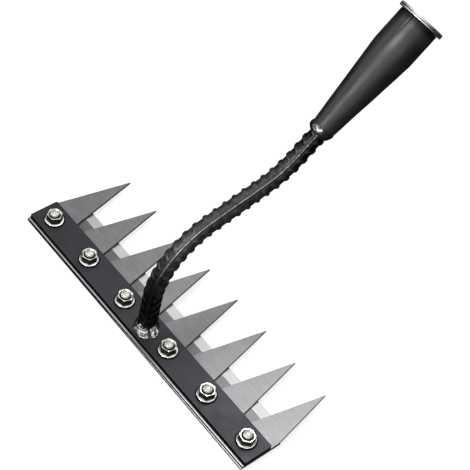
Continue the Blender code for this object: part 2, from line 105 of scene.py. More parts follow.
def remap(value, low, high, toLow=0.0, toHigh=1.0, smooth=True):
    inputs = {"Value": value, "From Min": low, "From Max": high, "To Min": toLow, "To Max": toHigh}
    curve = "SMOOTHSTEP" if smooth else "LINEAR"
    return firstOut(value.id_data, "ShaderNodeMapRange", inputs, interpolation_type=curve, clamp=True)


def split(vector):
    return addNode(vector.id_data, "ShaderNodeSeparateXYZ", {0: vector}).outputs


def combine(*parts):
    return firstOut(treeOf(parts), "ShaderNodeCombineXYZ", dict(enumerate(parts)))


def speckle(vector, scale, detail, roughness=0.5):
    inputs = {"Vector": vector, "Scale": scale, "Detail": detail, "Roughness": roughness}
    return firstOut(vector.id_data, "ShaderNodeTexNoise", inputs)


def openTree(name, kind, inputs, outputs):
    # an input is given by its first value, or by its kind of socket where it has none
    tree = bpy.data.node_groups.new(name, kind)
    kinds = {int: "Int", float: "Float"}
    for label, value in inputs.items():
        socketType = "NodeSocket" + kinds.get(type(value), value)
        socket = tree.interface.new_socket(label, in_out="INPUT", socket_type=socketType)
        if type(value) in kinds:
            socket.default_value = value
    for label, value in outputs.items():
        tree.interface.new_socket(label, in_out="OUTPUT", socket_type="NodeSocket" + value)
    return tree, tree.nodes.new("NodeGroupInput").outputs, tree.nodes.new("NodeGroupOutput").inputs


def openGeometryTree(name, inputs):
    return openTree(name, "GeometryNodeTree", inputs, {"Geometry": "Geometry"})


def geometryNode(tree, kind, inputs, **settings):
    return firstOut(tree, "GeometryNode" + kind, inputs, **settings)


def closeGeometryTree(tree, geometry, material, outs):
    real = geometryNode(tree, "RealizeInstances", {0: geometry})
    plug(geometryNode(tree, "SetMaterial", {"Geometry": real, "Material": material}), outs["Geometry"])
    return tree


# helpers for meshes and pieces

def limited(value, most=1.0):
    return min(most, max(0.0, value))


def polar(radius, angle, height):
    return radius * math.cos(angle), radius * math.sin(angle), height


def roundAngles(sides, start=0.0):
    return [start + 2 * math.pi * i / sides for i in range(sides)]


def circle(radius, height, angles):
    return [polar(radius, a, height) for a in angles]


def arc(center, radius, start, end, steps):
    angles = [math.radians(start + (end - start) * i / steps) for i in range(steps + 1)]
    return [(center[0] + radius * math.cos(a), center[1] + radius * math.sin(a)) for a in angles]


def bumpAt(x, y, z):
    return noise.noise(Vector((x, y, z)))


def addObject(name, data):
    made = bpy.data.objects.new(name, data)
    bpy.context.scene.collection.objects.link(made)
    return made


def meshFrom(name, points, faces=()):
    mesh = bpy.data.meshes.new(name)
    mesh.from_pydata(points, [], faces)
    return mesh


@contextmanager
def editing(mesh):
    bm = bmesh.new()
    bm.from_mesh(mesh)
    yield bm
    bmesh.ops.recalc_face_normals(bm, faces=bm.faces)
    bm.to_mesh(mesh)
    bm.free()


def closeHoles(bm):
    bmesh.ops.holes_fill(bm, edges=[edge for edge in bm.edges if edge.is_boundary])


def sliceOff(bm, point, normal):
    everything = bm.verts[:] + bm.edges[:] + bm.faces[:]
    bmesh.ops.bisect_plane(bm, geom=everything, plane_co=point, plane_no=normal, clear_outer=True)
    closeHoles(bm)


def cleanMesh(mesh, mergeBelow=1e-6):
    with editing(mesh) as bm:
        bmesh.ops.remove_doubles(bm, verts=bm.verts, dist=mergeBelow)
        closeHoles(bm)
    return mesh


def wrapRings(name, rings, closed):
    # quads between rings of the same number of points: closed joins the last ring to the first,
    # otherwise the two ends get a cap
    count = len(rings[0])
    points = [point for ring in rings for point in ring]
    faces = []
    for i in range(len(rings) if closed else len(rings) - 1):
        a, b = i * count, (i + 1) % len(rings) * count
        faces += [(a + j, a + (j + 1) % count, b + (j + 1) % count, b + j) for j in range(count)]
    if not closed:
        faces += [tuple(range(count)), tuple(range(len(points) - count, len(points)))]
    return meshFrom(name, points, faces)


def skinRings(name, rings, closed=False):
    return cleanMesh(wrapRings(name, rings, closed))


def turned(name, profile, sides, closed=True):
    # (radius, height) points turned about Z
    return skinRings(name, [circle(r, z, roundAngles(sides)) for r, z in profile], closed)


def shadeMesh(mesh, sharpAbove=40):
    mesh.shade_smooth()
    mesh.set_sharp_from_angle(angle=math.radians(sharpAbove))
    return mesh


def placed(mesh, place):
    mesh.transform(place if isinstance(place, Matrix) else Matrix.Translation(place))
    return mesh


def mark(mesh, name, amount, most=1.0):
    # an attribute that a material reads, worked out from where each point is
    marks = mesh.attributes.new(name, "FLOAT", "POINT")
    for item, vertex in zip(marks.data, mesh.vertices):
        item.value = limited(amount(vertex.co), most)
    return mesh


def evaluated(source):
    bpy.context.view_layer.update()
    graph = bpy.context.evaluated_depsgraph_get()
    return bpy.data.meshes.new_from_object(source.evaluated_get(graph))


def runGeometryNodes(name, mesh, tree, values):
    # evaluates the tree on the mesh and gives back a plain mesh
    source = addObject(name, mesh)
    modifier = source.modifiers.new(name, "NODES")
    modifier.node_group = tree
    for item in tree.interface.items_tree:
        if item.item_type == "SOCKET" and item.in_out == "INPUT" and item.name in values:
            modifier[item.identifier] = values[item.name]
    made = evaluated(source)
    made.name = name
    source.modifiers.remove(modifier)
    bpy.data.objects.remove(source)
    return made


def bevelled(piece, width):
    bevel = piece.modifiers.new("edges", "BEVEL")
    bevel.width, bevel.segments = width, 2
    bevel.limit_method = "ANGLE"
    bevel.angle_limit = math.radians(30)
    bevel.harden_normals = True


def addPiece(name, mesh, material, slot, *nodes):
    if not mesh.materials:
        mesh.materials.append(material)
    piece = addObject(name, mesh)
    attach(piece, "root")
    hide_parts(*nodes)
    return piece


# camera, lights and floor

cameraView = {
    "place": (0.5279, -0.6802, 1.0744),
    "azimuth": 39.44,
    "elevation": 50.05,
    "roll": 14.55,
    "lens": 112.79,
    "sensor": 36.0,
}
studio = {
    "floorHeight": 0.0,
    "floorSize": 30.0,
    "floorColor": (0.30, 0.30, 0.30, 1),
    "floorGlow": 0.74,
    # name, where it stands, where it points, width, height, watts
    "lamps": [
        ("rearSoftbox", (0.02, -1.0, 1.18), (0, 0.05, 0.15), 0.70, 0.80, 19),
        ("sideSoftbox", (0.95, -0.65, 0.85), (0, 0.05, 0.15), 1.0, 1.0, 7),
        ("leftSoftbox", (-0.98, -0.60, 0.75), (0, 0.05, 0.15), 0.7, 0.7, 3.5),
        ("nearSoftbox", (-0.15, 0.41, 1.03), (0.16, -0.13, 0.0), 0.26, 0.26, 1.8),
        ("frontSoftbox", (-0.25, 0.90, 0.80), (0, -0.05, 0.02), 1.1, 0.26, 1.5),
    ],
    # brightness of the surroundings by height above the horizon, -1 is straight down; the side away
    # from the front is dimmer
    "surroundings": [(-1.0, 0.01), (0.0, 0.03), (0.45, 0.08), (0.65, 0.22),
                     (0.75, 0.55), (0.83, 1.10), (0.90, 1.6), (1.0, 1.7)],
    "front": (-0.64, 0.77, 0.0),
    "behind": 0.12,
    "dimming": (-0.35, 0.15),
}


def addCamera(view):
    azimuth, elevation, roll = (math.radians(view[key]) for key in ("azimuth", "elevation", "roll"))
    level = math.cos(elevation)
    ahead = Vector((-math.sin(azimuth) * level, math.cos(azimuth) * level, -math.sin(elevation)))
    right = Vector((math.cos(azimuth), math.sin(azimuth), 0))
    across = right * math.cos(roll) + right.cross(ahead) * math.sin(roll)
    data = bpy.data.cameras.new("camera")
    data.lens, data.sensor_width = view["lens"], view["sensor"]
    data.clip_start, data.clip_end = 0.05, 50
    camera = addObject("camera", data)
    camera.matrix_world = Matrix((across, -ahead.cross(across), -ahead)).transposed().to_4x4()
    camera.location = view["place"]
    bpy.context.scene.camera = camera


def addLamp(name, place, target, width, height, watts):
    data = bpy.data.lights.new(name, "AREA")
    data.shape = "RECTANGLE"
    data.size, data.size_y, data.energy = width, height, watts
    lamp = addObject(name, data)
    lamp.location = place
    lamp.rotation_mode = "QUATERNION"
    lamp.rotation_quaternion = (Vector(target) - Vector(place)).to_track_quat("-Z", "Y")


def addWorld(values):
    world = bpy.data.worlds.new("studio")
    world.use_nodes = True
    tree = world.node_tree
    tree.nodes.clear()
    direction = addNode(tree, "ShaderNodeTexCoord").outputs["Generated"]
    ramp = addNode(tree, "ShaderNodeValToRGB", {"Fac": remap(split(direction)["Z"], -1.0, 1.0, smooth=False)})
    stops, levels = ramp.color_ramp.elements, values["surroundings"]
    while len(stops) < len(levels):
        stops.new(0.5)
    for stop, (level, light) in zip(stops, levels):
        stop.position = (level + 1) / 2
        stop.color = (light, light, light, 1)
    facing = vectorCalc("DOT_PRODUCT", direction, values["front"], result="Value")
    strength = remap(facing, *values["dimming"], values["behind"], 1.0)
    light = firstOut(tree, "ShaderNodeBackground", {"Color": ramp.outputs["Color"], "Strength": strength})
    backdrop = firstOut(tree, "ShaderNodeBackground", {"Color": (1, 1, 1, 1)})
    seen = addNode(tree, "ShaderNodeLightPath").outputs["Is Camera Ray"]
    mix = firstOut(tree, "ShaderNodeMixShader", {0: seen, 1: light, 2: backdrop})
    addNode(tree, "ShaderNodeOutputWorld", {0: mix})
    bpy.context.scene.world = world


def addFloor(values):
    half, height = values["floorSize"] / 2, values["floorHeight"]
    corners = [(x * half, y * half, height) for x, y in ((-1, -1), (1, -1), (1, 1), (-1, 1))]
    mesh = meshFrom("floor", corners, [(0, 1, 2, 3)])
    material = bpy.data.materials.new("paleFloor")
    material.use_nodes = True
    feed(material.node_tree.nodes["Principled BSDF"], {
        "Base Color": values["floorColor"], "Roughness": 0.9, "Specular IOR Level": 0.0,
        "Emission Color": (1, 1, 1, 1), "Emission Strength": values["floorGlow"]})
    mesh.materials.append(material)
    floor = addObject("floor", mesh)
    floor.visible_glossy = False  # the steel mirrors the dark of the studio there, not the floor


addCamera(cameraView)
addWorld(studio)
addFloor(studio)
for lampValues in studio["lamps"]:
    addLamp(*lampValues)
bpy.context.scene.view_settings.view_transform = "Standard"
print("camera, lights and floor are set")


# shader groups: each is built once and placed in the materials with its own values

def grainGroup():
    # long fine scratches: Stretch is how much longer they are than wide
    tree, ins, outs = openTree("grain", "ShaderNodeTree", {"Vector": "Vector", "Scale": 900.0, "Stretch": 30.0},
                               {"Grain": "Float", "Cloud": "Float"})
    x, y, z = split(ins["Vector"])
    squeezed = combine(over(x, ins["Stretch"]), y, z)
    plug(speckle(squeezed, ins["Scale"], 3.0, 0.65), outs["Grain"])
    plug(speckle(ins["Vector"], times(ins["Scale"], 0.035), 2.0), outs["Cloud"])
    return tree


def paintSkinGroup():
    # orange peel of sprayed paint, and slow changes of gloss
    inputs = {"Vector": "Vector", "Peel Scale": 900.0, "Gloss Scale": 60.0}
    tree, ins, outs = openTree("paintSkin", "ShaderNodeTree", inputs, {"Peel": "Float", "Gloss": "Float"})
    plug(speckle(ins["Vector"], ins["Peel Scale"], 2.0), outs["Peel"])
    plug(remap(speckle(ins["Vector"], ins["Gloss Scale"], 4.0), 0.3, 0.7), outs["Gloss"])
    return tree


def wearGroup():
    # where paint is rubbed or chipped off: Edge is 1 on the edges that rub
    inputs = {"Vector": "Vector", "Edge": 0.0, "Amount": 0.5, "Scale": 700.0, "Softness": 0.08}
    tree, ins, outs = openTree("wear", "ShaderNodeTree", inputs, {"Bare": "Float"})
    bareAbove = 0.98
    level = plus(speckle(ins["Vector"], ins["Scale"], 4.0, 0.6), times(ins["Edge"], ins["Amount"]))
    plug(remap(level, bareAbove, plus(ins["Softness"], bareAbove)), outs["Bare"])
    return tree


groups = {"grain": grainGroup(), "paintSkin": paintSkinGroup(), "wear": wearGroup()}


def useGroup(name, where, inputs):
    return addNode(where.id_data, "ShaderNodeGroup", dict(inputs, Vector=where), node_tree=groups[name]).outputs


def openMaterial(name, roughness, metallic):
    material = bpy.data.materials.new(name)
    material.use_nodes = True
    tree = material.node_tree
    shader = tree.nodes["Principled BSDF"]
    feed(shader, {"Roughness": roughness, "Metallic": metallic})
    return material, shader, addNode(tree, "ShaderNodeTexCoord").outputs["Object"]


def mixColor(share, first, second):
    inputs = {"Factor": share, 6: first, 7: second}
    return addNode(share.id_data, "ShaderNodeMix", inputs, data_type="RGBA").outputs[2]


def mixNumber(share, first, second):
    return firstOut(share.id_data, "ShaderNodeMix", {"Factor": share, 2: first, 3: second}, data_type="FLOAT")


def unevenGloss(share, values):
    # roughness that changes over the surface, by glossRange below and above its value
    low, high = (values["roughness"] + off for off in values["glossRange"])
    return mixNumber(share, low, high)


def addBump(shader, height, strength, distance):
    inputs = {"Strength": strength, "Distance": distance, "Height": height}
    plug(firstOut(height.id_data, "ShaderNodeBump", inputs), shader.inputs["Normal"])


def attribute(where, name):
    return addNode(where.id_data, "ShaderNodeAttribute", attribute_name=name).outputs["Fac"]


def below(where, height):
    # 1 under a height: the side walls of a flat plate
    return remap(split(where)["Z"], height - 0.00005, height - 0.00030)


# black paint over steel, with the steel showing where it is worn

blackPaint = {
    "color": (0.005, 0.005, 0.0055, 1),
    "dusty": (0.009, 0.009, 0.0098, 1),
    "roughness": 0.40,
    "glossRange": (-0.06, 0.08),
    "tint": (0.88, 0.92, 1.0, 1),
    # painted shade: colour, roughness and sheen taken away where a shade mask darkens the paint
    "paintedShade": (0.0012, 0.0012, 0.0013, 1),
    "paintedShadeRoughness": 0.9,
    "paintedShadeDulling": 1.0,
    "bare": (0.50, 0.50, 0.49, 1),
    "bareRoughness": 0.30,
    "wear": 0.20,
    "wearScale": 700.0,
    "softness": 0.08,
    "glossScale": 45.0,
    "peelScale": 1500.0,
    "peelHeight": 0.00003,
}


def paintMaterial(name, values, edge=None, paintedShade=None):
    # edge gives where the paint rubs off; the other mask gives where shade is painted in, darker and without sheen
    material, shader, where = openMaterial(name, values["roughness"], 0.0)
    plug(values["tint"], shader.inputs["Specular Tint"])
    skin = useGroup("paintSkin", where, {"Peel Scale": values["peelScale"], "Gloss Scale": values["glossScale"]})
    color = mixColor(skin["Gloss"], values["color"], values["dusty"])
    rough, metal = unevenGloss(skin["Gloss"], values), 0.0
    if paintedShade:
        mask = paintedShade(where)
        color = mixColor(mask, color, values["paintedShade"])
        rough = mixNumber(mask, rough, values["paintedShadeRoughness"])
        # a black metal has no sheen of its own, which keeps the painted shade dark
        metal = times(mask, values["paintedShadeDulling"])
    if edge:
        rubs = times(edge(where), minus(1.0, mask)) if paintedShade else edge(where)
        bare = useGroup("wear", where, {"Edge": rubs, "Amount": values["wear"], "Scale": values["wearScale"],
                                        "Softness": values["softness"]})["Bare"]
        color = mixColor(bare, color, values["bare"])
        rough = mixNumber(bare, rough, values["bareRoughness"])
        metal = highest(bare, metal)
    feed(shader, {"Base Color": color, "Roughness": rough, "Metallic": metal})
    addBump(shader, skin["Peel"], 0.35, values["peelHeight"])
    return material


# bare brushed steel of the tooth plate and blade

sheetSteel = {
    "color": (0.183, 0.187, 0.191, 1),
    "light": (0.243, 0.248, 0.253, 1),
    "roughness": 0.36,
    "glossRange": (-0.05, 0.09),
    "grainScale": 2600.0,
    "grainStretch": 45.0,
    "grainHeight": 0.00002,
    # painted highlight: the next two lighten the strips beside the bar, and the line in front of it by a share; the
    # one after takes their metal sheen away so that they read white
    "rubbed": (0.50, 0.51, 0.515, 1),
    "rubbedInFront": 0.35,
    "highlightDiffuse": 0.0,
    # painted shade: the colour of the side walls and of the dark lines beside them
    "cut": (0.025, 0.025, 0.026, 1),
    "ground": (0.58, 0.583, 0.593, 1),
    "groundRoughness": 0.32,
}


def besideBar(where, inFront):
    # painted highlight: 1 on the strip that stands out behind the bar, and inFront on a line along its front edge,
    # which the materials make lighter
    y = split(where)["Y"]
    behind = remap(y, rearEdge - 0.0004, rearEdge - 0.0007)
    before = remap(y, frontEdge + 0.0009, frontEdge + 0.0005, 0.0, inFront)
    return highest(behind, times(before, remap(y, barTop.y, barTop.y + 0.001)))


# cut gives a mask of painted shade on the side walls and beside them; ground gives the blade's ground strip
def sheetMaterial(name, values, cut, ground=None):
    material, shader, where = openMaterial(name, values["roughness"], 1.0)
    grain = useGroup("grain", where, {"Scale": values["grainScale"], "Stretch": values["grainStretch"]})
    tone = remap(plus(grain["Grain"], times(grain["Cloud"], 0.4)), 0.5, 0.95)
    # the painted highlight on the strips beside the bar
    strip = besideBar(where, values["rubbedInFront"])
    color = mixColor(strip, mixColor(tone, values["color"], values["light"]), values["rubbed"])
    rough, wall = unevenGloss(grain["Cloud"], values), cut(where)
    if ground:
        mask = ground(where)
        color = mixColor(mask, color, values["ground"])
        rough = mixNumber(mask, rough, values["groundRoughness"])
        wall = times(wall, minus(1.0, mask))
    feed(shader, {"Base Color": mixColor(wall, color, values["cut"]), "Roughness": rough})
    # the painted highlight strips lose their metal sheen, so that they read white
    if values["highlightDiffuse"]:
        highlightShare = times(times(strip, values["highlightDiffuse"]), minus(1.0, wall))
        plug(minus(1.0, highlightShare), shader.inputs["Metallic"])
    addBump(shader, grain["Grain"], 0.2, values["grainHeight"])
    return material


zincPlate = {
    "color": (0.84, 0.84, 0.80, 1),
    "dull": (0.50, 0.50, 0.46, 1),
    "end": (0.54, 0.53, 0.48, 1),
    # painted shade in the threads, the nut's mouth and on its facets
    "shadeTone": (0.006, 0.006, 0.005, 1),
    "roughness": 0.17,
    "glossRange": (0.0, 0.12),
    "shadeToneRoughness": 0.6,
    "matte": 0.6,
    "cloudScale": 380.0,
    "cloudHeight": 0.00001,
}


def zincMaterial(values):
    # the attribute recess is 1 where shade is painted, in the threads, the bore's mouth and on the nut's facets;
    # matte is 1 on the bolt ends, which have lost their shine
    material, shader, where = openMaterial("zinc", values["roughness"], 1.0)
    recess, matte = attribute(where, "recess"), attribute(where, "matte")
    cloud = speckle(where, values["cloudScale"], 4.0)
    share = remap(cloud, 0.4, 0.75)
    metal = mixColor(matte, mixColor(share, values["color"], values["dull"]), values["end"])
    feed(shader, {
        "Base Color": mixColor(recess, metal, values["shadeTone"]),
        "Roughness": mixNumber(recess, unevenGloss(share, values), values["shadeToneRoughness"]),
        "Metallic": minus(1.0, times(matte, values["matte"]))})
    addBump(shader, cloud, 0.1, values["cloudHeight"])
    return material


weldMetal = {
    "color": (0.50, 0.50, 0.49, 1),
    "scale": (0.10, 0.10, 0.098, 1),
    "paint": (0.004, 0.004, 0.0042, 1),
    "roughness": 0.36,
    "glossRange": (-0.08, 0.22),
    "lumpScale": 900.0,
    "lumpHeight": 0.0003,
    "stainScale": 420.0,
}


def weldMaterial(values):
    # the bead is painted apart from where the attribute bare says that it shows
    material, shader, where = openMaterial("weldMetal", values["roughness"], 1.0)
    shows = attribute(where, "bare")
    lumps = speckle(where, values["lumpScale"], 5.0, 0.65)
    bare = remap(plus(shows, times(minus(lumps, 0.5), 0.9)), 0.42, 0.58)
    stains = remap(speckle(where, values["stainScale"], 3.0), 0.40, 0.60)
    metal = mixColor(times(stains, minus(2.0, shows, clamp=True)), values["color"], values["scale"])
    feed(shader, {
        "Base Color": mixColor(bare, values["paint"], metal),
        "Roughness": unevenGloss(lumps, values),
        "Metallic": bare})
    addBump(shader, lumps, 0.8, values["lumpHeight"])
    return material


# clamp bar: black flat bar with rolled edges

clampBar = {
    "cornerRadius": 0.0015,
    "cornerSteps": 8,
    "edgeRadius": 0.00035,
    "edgeSteps": 4,
    "rubbedWidth": 0.0012,
    # painted contact shadow round each nut: the distances from its middle over which it fades out
    "shadowRingFrom": 0.0094,
    "shadowRingTo": 0.0104,
    # the nuts along it
    "endMargin": 0.0171,
    "neckBay": 0.0638,
}


def nutPlaces():
    # how far along the bar each nut stands from its middle
    inner, outer = clampBar["neckBay"] / 2, halfBar.x - clampBar["endMargin"]
    row = [inner, (inner + outer) / 2, outer]
    return [-x for x in reversed(row)] + row


def roundedRectangle(halfX, halfY, radius, steps, z):
    points = []
    for quarter, (sx, sy) in enumerate(((1, 1), (-1, 1), (-1, -1), (1, -1))):
        center = (sx * (halfX - radius), sy * (halfY - radius))
        points += arc(center, radius, 90 * quarter, 90 * quarter + 90, steps)
    return [(x, y, z) for x, y in points]


def clampBarMesh(values):
    edge, steps, least = values["edgeRadius"], values["edgeSteps"], 0.0003
    section = [(edge - x, z - edge) for x, z in arc((0, 0), edge, 90, 0, steps)]
    section += [(edge - x, z - barSize.z + edge) for x, z in arc((0, 0), edge, 0, -90, steps)]
    rings = []
    for inset, z in [(edge + least, 0.0)] + section + [(edge + least, -barSize.z)]:
        radius = max(values["cornerRadius"] - inset, least)
        rings.append(roundedRectangle(halfBar.x - inset, halfBar.y - inset, radius, values["cornerSteps"], z))
    return shadeMesh(placed(skinRings("clampBar", rings), barTop), 50)


def barEdges(where):
    # 1 along the long edges of the bar's top and at its ends
    x, y, z = split(where)
    near = [remap(unsigned(minus(part, middle)), half - clampBar["rubbedWidth"], half - 0.0001)
            for part, middle, half in ((x, barTop.x, halfBar.x), (y, barTop.y, halfBar.y))]
    return times(highest(*near), remap(z, barTop.z - 0.0014, barTop.z - 0.0004))


def barShade(where):
    # painted shade: 1 on the side walls and in a painted contact shadow round each nut
    x, y, z = split(where)
    flat, nearest = combine(x, y), 1.0
    for place in nutPlaces():
        away = vectorCalc("DISTANCE", flat, (barTop.x + place, barTop.y, 0), result="Value")
        nearest = calc("MINIMUM", away, nearest)
    shadowRing = remap(nearest, clampBar["shadowRingFrom"], clampBar["shadowRingTo"], 1.0, 0.0)
    return highest(shadowRing, below(where, barTop.z - 0.0001))


barPaint = paintMaterial("barPaint", blackPaint, barEdges, barShade)
addPiece("clampBar", clampBarMesh(clampBar), barPaint, "black_paint", "clamp_bar")
print("clamp bar made")


# tooth plate: one tooth is repeated along the bar and the row is cut to the bar's length

toothPlate = {
    "teeth": 8,
    "pitch": 0.041,
    "reach": 0.0759,
    "gullet": 0.0094,
    "rootRadius": 0.004,
    "tipRadius": 0.0003,
    "shift": 0.0008,
    "thickness": 0.0018,
    "gap": 0.0003,
    "overhang": 0.0024,
    "edgeBevel": 0.00012,
    "darkRim": 0.0006,
}
toothTop = barTop.z - barSize.z - toothPlate["gap"]


def oneTooth(values):
    half, rear = values["pitch"] / 2, -halfBar.y - values["overhang"]
    lean = math.atan2((values["pitch"] - values["gullet"]) / 2, values["reach"])
    turn = math.degrees(lean)
    rootY = halfBar.y - values["gullet"] / 2 / math.tan(lean) + values["rootRadius"] / math.sin(lean)
    tipY = halfBar.y + values["reach"] - values["tipRadius"] / math.sin(lean)
    outline = [(half, rear)] + arc((half, rootY), values["rootRadius"], -90, turn - 180, 12)
    outline += arc((0, tipY), values["tipRadius"], turn, 180 - turn, 6)
    outline += arc((-half, rootY), values["rootRadius"], -turn, -90, 12) + [(-half, rear)]
    return meshFrom("oneTooth", [(x, y, 0) for x, y in outline], [tuple(range(len(outline)))])


def toothRowTree():
    inputs = {"Tooth": "Geometry", "Count": 8, "Pitch": 0.041, "Thickness": 0.0018, "Steel": "Material"}
    tree, ins, outs = openGeometryTree("toothRow", inputs)
    width = times(minus(ins["Count"], 1), ins["Pitch"])
    line = geometryNode(tree, "MeshLine", {"Count": ins["Count"], "Start Location": combine(times(width, -0.5)),
                                           "Offset": combine(ins["Pitch"])})
    row = geometryNode(tree, "InstanceOnPoints", {"Points": line, "Instance": ins["Tooth"]})
    flat = geometryNode(tree, "RealizeInstances", {0: row})
    flat = geometryNode(tree, "MergeByDistance", {0: flat, "Distance": 1e-6})
    raised = geometryNode(tree, "ExtrudeMesh", {"Mesh": flat, "Offset Scale": ins["Thickness"], "Individual": False})
    both = addNode(tree, "GeometryNodeJoinGeometry")
    for half in (raised, geometryNode(tree, "FlipFaces", {0: flat})):
        plug(half, both.inputs[0])
    solid = geometryNode(tree, "MergeByDistance", {0: both.outputs[0], "Distance": 1e-6})
    return closeGeometryTree(tree, solid, ins["Steel"], outs)


def toothPlateMesh(values, steel):
    settings = {"Count": values["teeth"], "Pitch": values["pitch"], "Thickness": values["thickness"], "Steel": steel}
    mesh = runGeometryNodes("toothPlate", oneTooth(values), toothRowTree(), settings)
    placed(mesh, (values["shift"], 0, -barSize.z - values["gap"] - values["thickness"]))
    with editing(mesh) as bm:
        for side in (-1, 1):
            sliceOff(bm, (side * halfBar.x, 0, 0), (side, 0, 0))
        bmesh.ops.dissolve_limit(bm, angle_limit=0.001, verts=bm.verts, edges=bm.edges)
    return shadeMesh(placed(mesh, barTop))


def toothShade(where):
    # painted shade: 1 on the side walls, on a narrow dark rim along one flank of each tooth, and in the corner at
    # the foot of the bar's back
    x, y, z = split(where)
    pitch, rim = toothPlate["pitch"], toothPlate["darkRim"]
    fromGap = minus(x, barTop.x + toothPlate["shift"] + pitch / 2)
    ahead = minus(y, frontEdge)
    halfWidth = remap(ahead, 0.0, toothPlate["reach"], (pitch - toothPlate["gullet"]) / 2, 0.0, smooth=False)
    fromFlank = minus(halfWidth, calc("WRAP", fromGap, pitch / 2, -pitch / 2))
    flank = times(remap(fromFlank, rim, rim * 0.6), remap(ahead, 0.0, 0.0002))
    behind = plus(ahead, barSize.y)
    corner = times(remap(behind, -0.0009, -0.0006), remap(behind, 0.0002, 0.0))
    return highest(highest(flank, corner), below(where, toothTop))


toothSteel = sheetMaterial("toothSteel", sheetSteel, toothShade)
toothMesh = toothPlateMesh(toothPlate, toothSteel)
bevelled(addPiece("toothPlate", toothMesh, toothSteel, "sheet_steel", "tooth_plate"), toothPlate["edgeBevel"])
print("tooth plate made:", toothPlate["teeth"], "teeth")


# hoe blade: a strip with a ground edge, a touch askew under the teeth

hoeBlade = {
    "thickness": 0.0018,
    "reach": 0.023,
    "overhang": 0.0032,
    "bevel": 0.0106,
    "edge": 0.0004,
    "cornerClip": 0.0125,
    "skew": 0.22,
    "edgeBevel": 0.00012,
    "darkCorner": 0.0004,
}
# the blade's strip behind the tooth plate gets a stronger painted highlight, and no line in front
bladeLook = dict(sheetSteel, color=(0.125, 0.13, 0.131, 1), light=(0.175, 0.181, 0.182, 1),
                 rubbed=(0.85, 0.855, 0.86, 1), rubbedInFront=0.0, highlightDiffuse=0.8)


def hoeBladeMesh(values):
    front, rear = halfBar.y + values["reach"], -halfBar.y - values["overhang"]
    thickness, spare = values["thickness"], 0.02
    section = [(rear, -thickness), (front, -thickness), (front, values["edge"] - thickness),
               (front - values["bevel"], 0), (rear, 0)]
    ends = (-halfBar.x - spare, halfBar.x + spare)
    mesh = skinRings("hoeBlade", [[(x, y, z) for y, z in section] for x in ends])
    placed(mesh, Matrix.Rotation(-math.radians(values["skew"]), 4, "Z"))
    with editing(mesh) as bm:
        for side in (-1, 1):
            sliceOff(bm, (side * halfBar.x, 0, 0), (side, 0, 0))
            sliceOff(bm, (side * (halfBar.x - values["cornerClip"]), front, 0), (side, 1, 0))
    top = -barSize.z - 2 * toothPlate["gap"] - toothPlate["thickness"]
    return shadeMesh(placed(mesh, barTop + Vector((0, 0, top))), 4)


def alongBlade(where):
    # Y across the blade, which lies a touch askew
    x, y, z = split(where)
    return plus(y, times(minus(x, barTop.x), math.tan(math.radians(hoeBlade["skew"]))))


def bladeGround(where):
    # 1 on the ground strip along the cutting edge
    start = frontEdge + hoeBlade["reach"] - hoeBlade["bevel"]
    return remap(alongBlade(where), start - 0.00005, start + 0.00025)


def bladeShade(where):
    # painted shade: 1 on the side walls, on a hair of the top along the back edge and in the corner under the tooth
    # plate
    y, back = split(where)["Y"], rearEdge - hoeBlade["overhang"]
    rim = remap(alongBlade(where), back + 0.00025, back + 0.00012)
    corner = rearEdge - toothPlate["overhang"] - hoeBlade["darkCorner"]
    shadeTone = times(remap(y, corner - 0.00005, corner + 0.00005), remap(y, barTop.y, barTop.y - 0.001))
    return highest(highest(shadeTone, rim), below(where, toothTop - toothPlate["thickness"] - toothPlate["gap"]))


bladeSteel = sheetMaterial("bladeSteel", bladeLook, bladeShade, bladeGround)
bladePiece = addPiece("hoeBlade", hoeBladeMesh(hoeBlade), bladeSteel, "sheet_steel", "hoe_blade")
bevelled(bladePiece, hoeBlade["edgeBevel"])
print("hoe blade made")


# nuts and bolts: one of each is modelled and set along the bar by Geometry Nodes

fastener = {
    "acrossFlats": 0.013,
    "cornerRound": 0.00016,
    "chamfer": 28.0,
    "gap": 0.0003,
    "sides": 120,
    # how far round each one is turned, in degrees
    "turns": (4, 26, 12, 22, 16, 48),
    # rings near the edges of the hexagon: distance from the edge, and growth
    "edge": ((0.0003, 0.0), (0.0001, -0.00002), (0.0, -0.00012)),
    "fillet": ((0.0, 0.0005), (0.00008, 0.00018), (0.0003, 0.0)),
    # nut
    "nutHeight": 0.008,
    "topInset": -0.00050,
    "boreRadius": 0.0043,
    "boreChamfer": 0.0015,
    "flangeMargin": 0.00144,
    "flangeRim": 0.0011,
    "flangeRound": 0.00025,
    "flangeSlope": 12.0,
    "shadeToneWithin": 0.0079,
    # bolt
    "boltRadius": 0.004,
    "headHeight": 0.0053,
    "stickOut": 0.0024,
    "tipHeight": 0.0017,
    "tipRound": 0.0014,
    "threadPitch": 0.00125,
    "threadDepth": 0.00025,
    "threadTurns": 2.4,
    "stepsPerTurn": 14,
    # shallow groove in the bolt's end: share of its radius, and height
    "endProfile": ((0.95, 0.00002), (0.88, -0.00012), (0.78, -0.00012),
                   (0.70, 0.00002), (0.40, 0.00008), (0.15, 0.00010)),
}


def hexReach(angle, values):
    # distance to a hexagon's side, with its corners taken off a little
    within = (angle + math.pi / 6) % (math.pi / 3) - math.pi / 6
    side = values["acrossFlats"] / 2 / math.cos(within)
    corner = values["acrossFlats"] / math.sqrt(3) - values["cornerRound"]
    return min(side, corner)


def hexWall(values, low, high, foot):
    # rings of the wall between two heights, each of which depends on the radius
    angles, rings = roundAngles(values["sides"]), []
    steps = [(low, lift, grow) for lift, grow in foot] + [(high, -drop, grow) for drop, grow in values["edge"]]
    for height, lift, grow in steps:
        reach = [hexReach(a, values) + grow for a in angles]
        rings.append([polar(r, a, height(r) + lift) for r, a in zip(reach, angles)])
    return rings


